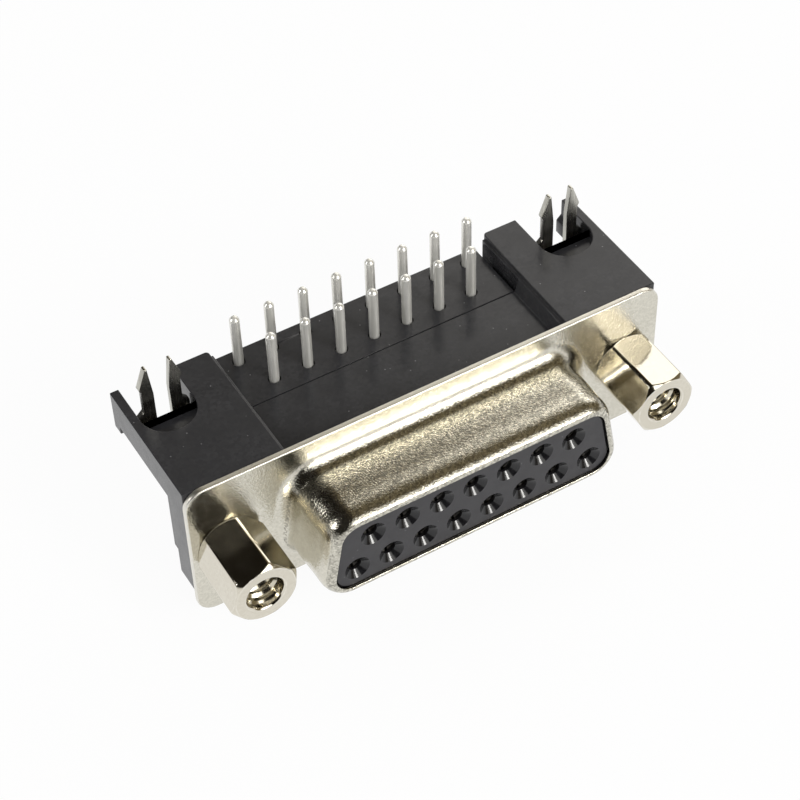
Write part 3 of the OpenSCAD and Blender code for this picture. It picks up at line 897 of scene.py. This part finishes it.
@dataclass
class Mouldings:
    """The black mouldings: housing, front insulator and tail guide."""

    edge_r: float = 0.07
    seam_r: float = 0.03
    face_y: float = -8.8
    mouth_r: float = 1.0
    mouth_deep: float = 0.55
    entry_r: float = 0.525
    cone_deep: float = 0.43
    axis_z: float = AXIS_Z
    pitch: float = 2.77
    row_gap: float = 2.84
    columns: tuple[int, int] = (8, 7)
    sharp: float = 30.0
    face_sharp: float = 65.0
    cone_normals: tuple[float, float] = (-0.95, -0.2)
    slack: float = 0.01
    least_deep: float = 0.05

    def build(self, body: bpy.types.Material, face: bpy.types.Material) -> list[bpy.types.Object]:
        """Makes the three pieces.

        Args:
            body: Finish of the housing and the guide.
            face: Finish of the insulator.

        Returns:
            The pieces.
        """
        made = []
        for node, slot, material in (
            ("housing", Slot.HOUSING, body),
            ("tail_guide", Slot.GUIDE, body),
            ("front_insulator", Slot.INSULATOR, face),
        ):
            bm = node_copy(node)
            width = self.seam_r if slot is Slot.GUIDE else self.edge_r
            round_edges(bm, width, sharper_than=self.face_sharp if slot is Slot.INSULATOR else self.sharp)
            if slot is Slot.INSULATOR:
                self._open_mouths(bm)
                # The mouth cones are marked so they turn glossy and darker; the darker tone is painted shade.
                mark_faces(bm, lambda f: self.cone_normals[0] < f.normal.y < self.cone_normals[1])
            made.append(make_piece(bm, f"moulded_{node}", [node], material))
        return made

    def _open_mouths(self, bm: bmesh.types.BMesh) -> None:
        """Gives each contact mouth a smooth cone that ends in a narrow entry.

        Args:
            bm: The insulator.
        """
        for row, columns in zip((-1, 1), self.columns):
            for column in range(columns):
                x = (column - (columns - 1) / 2) * self.pitch
                middle = millimetres(x, self.face_y, self.axis_z + row * self.row_gap / 2)
                cone = [f for f in bm.faces if self._is_cone(f, middle)]
                bmesh.ops.delete(bm, geom=cone, context="FACES")
                rims = [e for e in bm.edges if e.is_boundary]
                for vert in {v for e in rims for v in e.verts if v.co.y - middle.y > self.cone_deep * MM}:
                    offset = vert.co - middle
                    narrower = self.entry_r * MM / math.hypot(offset.x, offset.z)
                    vert.co = middle + Vector((offset.x * narrower, self.cone_deep * MM, offset.z * narrower))
                bmesh.ops.bridge_loops(bm, edges=rims)
        bmesh.ops.recalc_face_normals(bm, faces=bm.faces[:])

    def _is_cone(self, face: bmesh.types.BMFace, middle: Vector) -> bool:
        """Says whether a face lies on the cone of one mouth.

        Args:
            face: The face.
            middle: Middle of the mouth on the insulator's face.

        Returns:
            Whether it does.
        """
        offsets = [v.co - middle for v in face.verts]
        depths = [offset.y / MM for offset in offsets]
        near = all(math.hypot(offset.x, offset.z) < (self.mouth_r + self.slack) * MM for offset in offsets)
        return near and min(depths) > -self.slack and self.least_deep < max(depths) < self.mouth_deep + self.slack


@dataclass
class Contacts:
    """The fifteen socket contacts with their bent tails."""

    count: int = 15
    edge_r: float = 0.05
    socket_y: float = -3.0

    def build(self, material: bpy.types.Material) -> list[bpy.types.Object]:
        """Makes the pieces.

        Args:
            material: Their finish.

        Returns:
            The pieces.
        """
        made = []
        for number in range(1, self.count + 1):
            node = f"contact_{number:02d}"
            bm = node_copy(node)
            # The socket ends deep in the mouths are marked so their finish paints them near black as shade.
            mark_faces(bm, lambda f: f.calc_center_median().y < self.socket_y * MM)
            round_edges(bm, self.edge_r, behind=self.socket_y)
            made.append(make_piece(bm, f"turned_{node}", [node], material))
        return made


@dataclass
class BoardLocks:
    """The two folded brackets with their forks."""

    edge_r: float = 0.05

    def build(self, material: bpy.types.Material) -> list[bpy.types.Object]:
        """Makes the pieces.

        Args:
            material: Their finish.

        Returns:
            The pieces.
        """
        made = []
        for side in Side:
            node = f"board_lock_{side.word}"
            bm = node_copy(node)
            round_edges(bm, self.edge_r)
            made.append(make_piece(bm, f"folded_{node}", [node], material))
        return made


@dataclass
class ScrewPosts:
    """The hexagonal posts with their inside thread, and the nuts behind them."""

    front_y: float = -8.5
    axis_z: float = AXIS_Z
    post_x: float = POST_X
    bore_r: float = 1.42
    bore_deep: float = 4.6
    pitch: float = 0.635
    mouth: float = 0.15
    crest: float = 0.22
    base: float = 7 / 8
    ridge: float = 0.2
    sink: float = 0.03
    run_in: float = 0.8
    least_grown: float = 0.02
    turn_slack: float = 1e-4
    corner_r: float = 0.2
    corner_room: float = 0.25
    corner_length: float = 3.0
    corner_steps: int = 4
    edge_r: float = 0.06
    sharp: float = 20.0
    steps: int = 40

    def _clear_corners(self, bm: bmesh.types.BMesh) -> None:
        """Draws points that lie close to the ends of the hexagon's corners into these ends.

        Args:
            bm: The post, whose corners then have room for their rounding.
        """
        long = [e for e in bm.edges if e.calc_length() > self.corner_length * MM]
        ends = [v for e in long if e.calc_face_angle() > math.radians(self.sharp) for v in e.verts]
        drawn_in = {
            vert: end
            for end in ends
            for vert in bm.verts
            if vert is not end and (vert.co - end.co).length < self.corner_room * MM
        }
        bmesh.ops.weld_verts(bm, targetmap=drawn_in)

    def _thread(self, bm: bmesh.types.BMesh, axis: Vector) -> None:
        """Winds the thread's ridge along the bore, out of which it grows in its first turn.

        Args:
            bm: The post.
            axis: Point of the bore's axis in the plane of the post's front face.
        """
        crest, base = self.pitch * self.crest, self.pitch * self.base
        inner, sunk = self.bore_r - self.ridge, self.bore_r + self.sink
        before = set(bm.verts)
        loop = [
            bm.verts.new(axis + millimetres(0, self.mouth + along, radius))
            for radius, along in (
                (sunk, 0), (inner, (base - crest) / 2), (inner, (base + crest) / 2), (sunk, base)
            )
        ]
        edges = [bm.edges.new(pair) for pair in zip(loop, loop[1:] + loop[:1])]
        turns = int((self.bore_deep - self.mouth - self.pitch) / self.pitch)
        bmesh.ops.spin(
            bm, geom=loop + edges, cent=axis, axis=(0, 1, 0), dvec=millimetres(0, self.pitch / self.steps, 0),
            angle=math.radians(360 * turns), steps=self.steps * turns, use_merge=False,
        )
        ends = [e for e in bm.edges if e.is_boundary and e.verts[0] not in before]
        bmesh.ops.holes_fill(bm, edges=ends, sides=4)
        bmesh.ops.recalc_face_normals(bm, faces=[f for f in bm.faces if f.verts[0] not in before])
        for vert in (v for v in bm.verts if v not in before):
            offset = vert.co - axis
            radius = math.hypot(offset.x, offset.z) / MM
            part = math.atan2(offset.x, offset.z) / math.tau % 1
            whole = math.floor((offset.y / MM - self.mouth) / self.pitch - part + self.turn_slack)
            grown = min(1.0, max(self.least_grown, (whole + part) / self.run_in))
            wanted = sunk + (radius - sunk) * grown
            vert.co.x, vert.co.z = axis.x + offset.x * wanted / radius, axis.z + offset.z * wanted / radius
        mark_faces(bm, lambda f: f.verts[0] not in before)

    def build(self, material: bpy.types.Material) -> list[bpy.types.Object]:
        """Makes the posts and nuts.

        Args:
            material: Their finish.

        Returns:
            The pieces.
        """
        made = []
        for side in Side:
            node = f"jack_post_{side.word}"
            axis = millimetres(side.value * self.post_x, self.front_y, self.axis_z)
            bm = node_copy(node)
            self._clear_corners(bm)
            round_edges(bm, self.corner_r, self.corner_steps, self.sharp, longer_than=self.corner_length)
            round_edges(bm, self.edge_r, sharper_than=self.sharp)
            self._thread(bm, axis)
            made.append(make_piece(bm, f"turned_{node}", [node], material))
            node = f"lock_nut_{side.word}"
            bm = node_copy(node)
            round_edges(bm, self.edge_r)
            made.append(make_piece(bm, f"milled_{node}", [node], material))
        return made


# ----- Studio


@dataclass(frozen=True)
class Softbox:
    """A round soft light: where it hangs, how wide it looks from the part, and its level."""

    name: str
    towards: Triple
    half_angle: float
    level: float
    colour: Triple = WARM_WHITE
    away: float = 500.0

    def hang(self) -> None:
        """Puts the light in the scene."""
        radius = self.away * math.tan(math.radians(self.half_angle)) * MM
        light = bpy.data.lights.new(self.name, "AREA")
        light.shape = "DISK"
        light.size = 2 * radius
        light.energy = self.level * math.pi * math.pi * radius**2
        light.color = self.colour
        lamp = bpy.data.objects.new(self.name, light)
        bpy.context.scene.collection.objects.link(lamp)
        direction = Vector(self.towards).normalized()
        lamp.location = direction * self.away * MM
        lamp.rotation_mode = "QUATERNION"
        lamp.rotation_quaternion = direction.to_track_quat("Z", "Y")
        lamp.visible_camera = False


@dataclass
class Studio:
    """White table, soft lights and the camera of the photograph."""

    camera_at: Triple = (-53.344, -92.840, 122.361)
    right: Triple = (0.85817, -0.51285, -0.02290)
    up: Triple = (0.38714, 0.61724, 0.68494)
    back: Triple = (-0.33714, -0.59666, 0.72824)
    lens: float = 97.17
    sensor: float = 36.0
    clip: tuple[float, float] = (0.005, 20.0)
    table_half: float = 3.0
    table_tone: Triple = (0.86, 0.86, 0.86)
    table_glow: float = 0.94
    softboxes: tuple[Softbox, ...] = (
        Softbox("front_softbox", (0.28, -0.8, 0.53), 23.0, 2.4),
        Softbox("front_lamp", (0.34, -0.8, 0.48), 6.0, 24.0),
        Softbox("back_softbox", (0.66, 0.6, 0.46), 23.0, 1.7),
        Softbox("left_lamp", (-0.79, 0.24, 0.43), 8.0, 9.0),
    )
    fill: tuple[float, float] = (0.75, 0.2)
    room_left: Triple = (0.012, 0.01, 0.007)
    room_right: Triple = (0.2, 0.165, 0.1)
    room_turn: tuple[float, float] = (-0.1, 0.38)
    horizon: float = 0.14

    def _floor(self) -> None:
        """Lays the table, which camera and mirror rays see as white and which keeps the shadow."""
        bm = bmesh.new()
        bmesh.ops.create_grid(bm, x_segments=4, y_segments=4, size=self.table_half)
        mesh = bpy.data.meshes.new("table")
        bm.to_mesh(mesh)
        bm.free()
        table = bpy.data.objects.new("table", mesh)
        bpy.context.scene.collection.objects.link(table)
        material = bpy.data.materials.new("white_table")
        material.use_nodes = True
        nodes, links = material.node_tree.nodes, material.node_tree.links
        matt = nodes["Principled BSDF"]
        matt.inputs["Base Color"].default_value = (*self.table_tone, 1)
        matt.inputs["Roughness"].default_value = 0.9
        matt.inputs["Specular IOR Level"].default_value = 0.1
        glow = nodes.new("ShaderNodeEmission")
        glow.inputs["Strength"].default_value = 1
        path = nodes.new("ShaderNodeLightPath")
        seen = nodes.new("ShaderNodeMath")
        seen.operation = "MAXIMUM"
        share = nodes.new("ShaderNodeMath")
        share.operation = "MULTIPLY"
        share.inputs[1].default_value = self.table_glow
        mix = nodes.new("ShaderNodeMixShader")
        links.new(path.outputs["Is Camera Ray"], seen.inputs[0])
        links.new(path.outputs["Is Glossy Ray"], seen.inputs[1])
        links.new(seen.outputs[0], share.inputs[0])
        links.new(share.outputs[0], mix.inputs["Fac"])
        links.new(matt.outputs["BSDF"], mix.inputs[1])
        links.new(glow.outputs["Emission"], mix.inputs[2])
        links.new(mix.outputs["Shader"], nodes["Material Output"].inputs["Surface"])
        mesh.materials.append(material)

    def _world(self) -> None:
        """Fills the room: a white wall low round the table, dim above where metal mirrors it."""
        world = bpy.data.worlds.new("studio_room")
        bpy.context.scene.world = world
        world.use_nodes = True
        nodes, links = world.node_tree.nodes, world.node_tree.links
        place = nodes.new("ShaderNodeTexCoord")
        along = nodes.new("ShaderNodeSeparateXYZ")
        links.new(place.outputs["Generated"], along.inputs["Vector"])
        path = nodes.new("ShaderNodeLightPath").outputs

        def ramp(axis: str, low: float, high: float) -> bpy.types.NodeSocket:
            """Rises from 0 to 1 along an axis of the room.

            Args:
                axis: The axis.
                low: Where the rise starts.
                high: Where it ends.

            Returns:
                The value.
            """
            rise = nodes.new("ShaderNodeMapRange")
            rise.interpolation_type = "SMOOTHSTEP"
            rise.inputs["From Min"].default_value, rise.inputs["From Max"].default_value = low, high
            links.new(along.outputs[axis], rise.inputs["Value"])
            return rise.outputs["Result"]

        def blend(
            share: bpy.types.NodeSocket,
            first: bpy.types.NodeSocket | tuple[float, ...],
            second: bpy.types.NodeSocket | tuple[float, ...],
        ) -> bpy.types.NodeSocket:
            """Goes from one colour to another.

            Args:
                share: Share of the second colour.
                first: The first colour, or what gives it.
                second: The second colour, or what gives it.

            Returns:
                The colour.
            """
            mix = nodes.new("ShaderNodeMix")
            mix.data_type = "RGBA"
            links.new(share, mix.inputs["Factor"])
            for label, colour in (("A", first), ("B", second)):
                if isinstance(colour, tuple):
                    mix.inputs[label].default_value = (*colour, 1)
                else:
                    links.new(colour, mix.inputs[label])
            return mix.outputs["Result"]

        overhead = blend(ramp("X", *self.room_turn), self.room_left, self.room_right)
        mirrored = blend(ramp("Z", 0.0, self.horizon), WARM_WHITE, overhead)
        soft = blend(ramp("X", -1.0, 1.0), (self.fill[0],) * 3, (self.fill[1],) * 3)
        lit = blend(path["Is Glossy Ray"], soft, mirrored)
        links.new(blend(path["Is Camera Ray"], lit, (1, 1, 1)), nodes["Background"].inputs["Color"])

    def _camera(self) -> None:
        """Sets the camera where the photograph was taken from."""
        data = bpy.data.cameras.new("photo_camera")
        data.sensor_width = self.sensor
        data.lens = self.lens
        data.clip_start, data.clip_end = self.clip
        camera = bpy.data.objects.new("photo_camera", data)
        bpy.context.scene.collection.objects.link(camera)
        turn = Matrix((self.right, self.up, self.back)).transposed()
        camera.matrix_world = Matrix.Translation(Vector(self.camera_at) * MM) @ turn.to_4x4()
        bpy.context.scene.camera = camera

    def build(self) -> None:
        """Sets up table, light, room and camera."""
        self._floor()
        self._world()
        for softbox in self.softboxes:
            softbox.hang()
        self._camera()
        bpy.context.scene.view_settings.view_transform = "Standard"


def main() -> None:
    """Builds the pieces in order and sets up the picture."""
    logging.basicConfig(level=logging.INFO, format="%(name)s: %(message)s")
    effects = Effects()
    plate, bright, lock, tin = (f.build(effects) for f in (SHELL_PLATE, POST_PLATE, LOCK_PLATE, TAIL_TIN))
    black, face = (f.build(effects) for f in (BLACK_MOULDING, BLACK_FACE))
    FrontShell().build(plate)
    Mouldings().build(black, face)
    Contacts().build(tin)
    BoardLocks().build(lock)
    ScrewPosts().build(bright)
    Studio().build()


if __name__ == "__main__":
    main()
